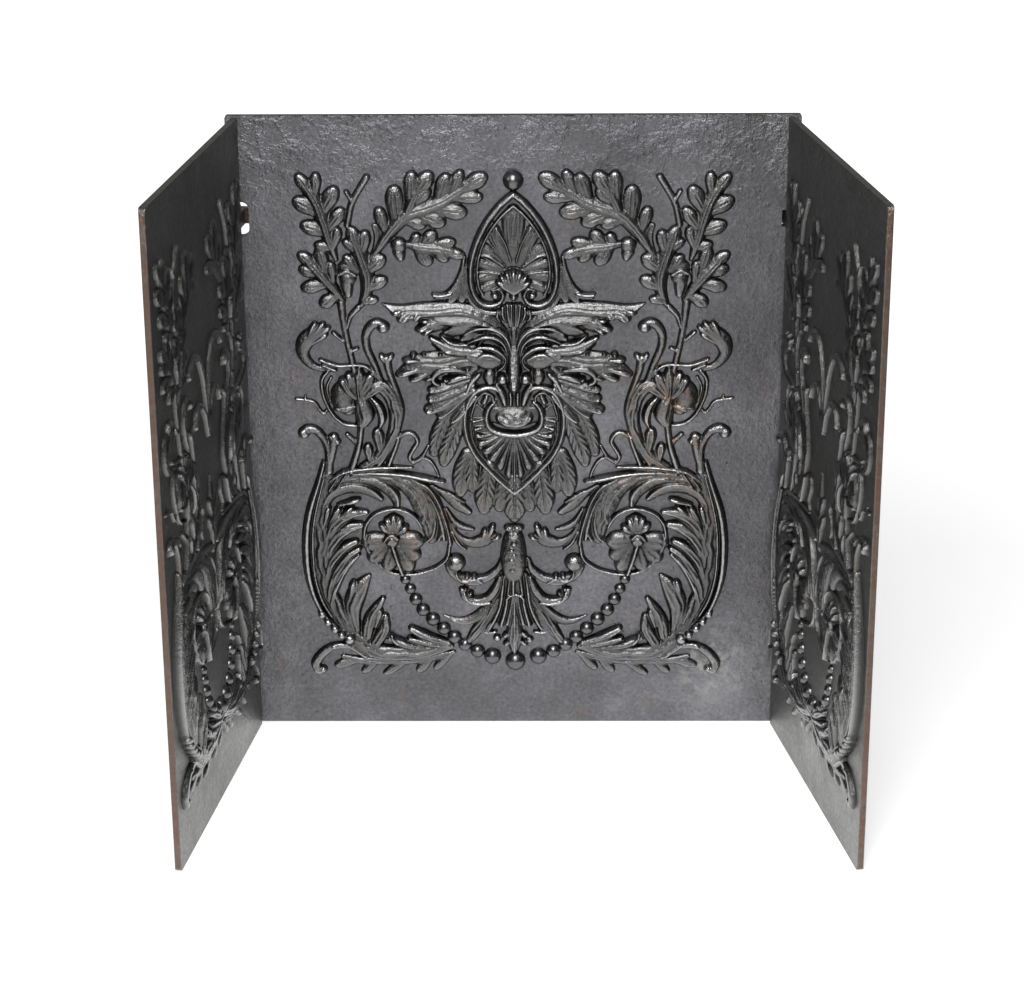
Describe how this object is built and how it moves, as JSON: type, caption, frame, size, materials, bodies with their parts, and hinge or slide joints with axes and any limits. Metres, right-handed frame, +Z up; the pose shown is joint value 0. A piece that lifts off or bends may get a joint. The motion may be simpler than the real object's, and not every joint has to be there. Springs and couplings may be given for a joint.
{
  "type": "fireback",
  "caption": "Cast iron fireback: an ornamented back plate and two splayed, ornamented side cheeks that hook into slots in it.",
  "frame": {"origin": "middle of the back plate's bottom face, on the hearth", "axes": "+Z up, the ornamented fire side of the back plate faces -Y, +X to the right as one looks at the fire side"},
  "size_m": [0.7109, 0.3721, 0.711],
  "materials": {
    "back_plate_iron": "sand-cast, dark graphite grey",
    "back_ornament_iron": "cast, rubbed up with black grate polish",
    "cheek_plate_iron": "sand-cast, near black, a little rust on the edges",
    "cheek_ornament_iron": "cast, rubbed up with black grate polish"
  },
  "bodies": {
    "back": {"back_plate": "back_plate_iron", "crest": "back_ornament_iron", "finial_ball": "back_ornament_iron", "mask": "back_ornament_iron", "beard_frame": "back_ornament_iron", "beard_leaves": "back_ornament_iron", "pendant": "back_ornament_iron", "bead_swag": "back_ornament_iron", "back_left_oak_branch": "back_ornament_iron", "back_left_vine": "back_ornament_iron", "back_left_scroll": "back_ornament_iron", "back_left_rosette": "back_ornament_iron", "back_left_foot_leaf": "back_ornament_iron", "back_left_mask_leaves": "back_ornament_iron", "back_right_oak_branch": "back_ornament_iron", "back_right_vine": "back_ornament_iron", "back_right_scroll": "back_ornament_iron", "back_right_rosette": "back_ornament_iron", "back_right_foot_leaf": "back_ornament_iron", "back_right_mask_leaves": "back_ornament_iron"},
    "left_cheek": {"left_cheek_plate": "cheek_plate_iron", "left_cheek_bead_swag": "cheek_ornament_iron", "left_cheek_tendrils": "cheek_ornament_iron", "left_cheek_front_oak_branch": "cheek_ornament_iron", "left_cheek_front_vine": "cheek_ornament_iron", "left_cheek_front_scroll": "cheek_ornament_iron", "left_cheek_front_rosette": "cheek_ornament_iron", "left_cheek_front_foot_leaf": "cheek_ornament_iron", "left_cheek_rear_oak_branch": "cheek_ornament_iron", "left_cheek_rear_vine": "cheek_ornament_iron", "left_cheek_rear_scroll": "cheek_ornament_iron", "left_cheek_rear_rosette": "cheek_ornament_iron", "left_cheek_rear_foot_leaf": "cheek_ornament_iron"},
    "right_cheek": {"right_cheek_plate": "cheek_plate_iron", "right_cheek_bead_swag": "cheek_ornament_iron", "right_cheek_tendrils": "cheek_ornament_iron", "right_cheek_front_oak_branch": "cheek_ornament_iron", "right_cheek_front_vine": "cheek_ornament_iron", "right_cheek_front_scroll": "cheek_ornament_iron", "right_cheek_front_rosette": "cheek_ornament_iron", "right_cheek_front_foot_leaf": "cheek_ornament_iron", "right_cheek_rear_oak_branch": "cheek_ornament_iron", "right_cheek_rear_vine": "cheek_ornament_iron", "right_cheek_rear_scroll": "cheek_ornament_iron", "right_cheek_rear_rosette": "cheek_ornament_iron", "right_cheek_rear_foot_leaf": "cheek_ornament_iron"}
  },
  "joints": [
    {"name": "left_cheek_swing", "type": "hinge", "parent": "back", "child": "left_cheek", "pos_m": [-0.2947, -0.0088, 0], "axis": [0, 0, 1], "range_deg": [-5.5, 8.5]},
    {"name": "right_cheek_swing", "type": "hinge", "parent": "back", "child": "right_cheek", "pos_m": [0.2947, -0.0088, 0], "axis": [0, 0, 1], "range_deg": [-10.5, 3.5]}
  ]
}
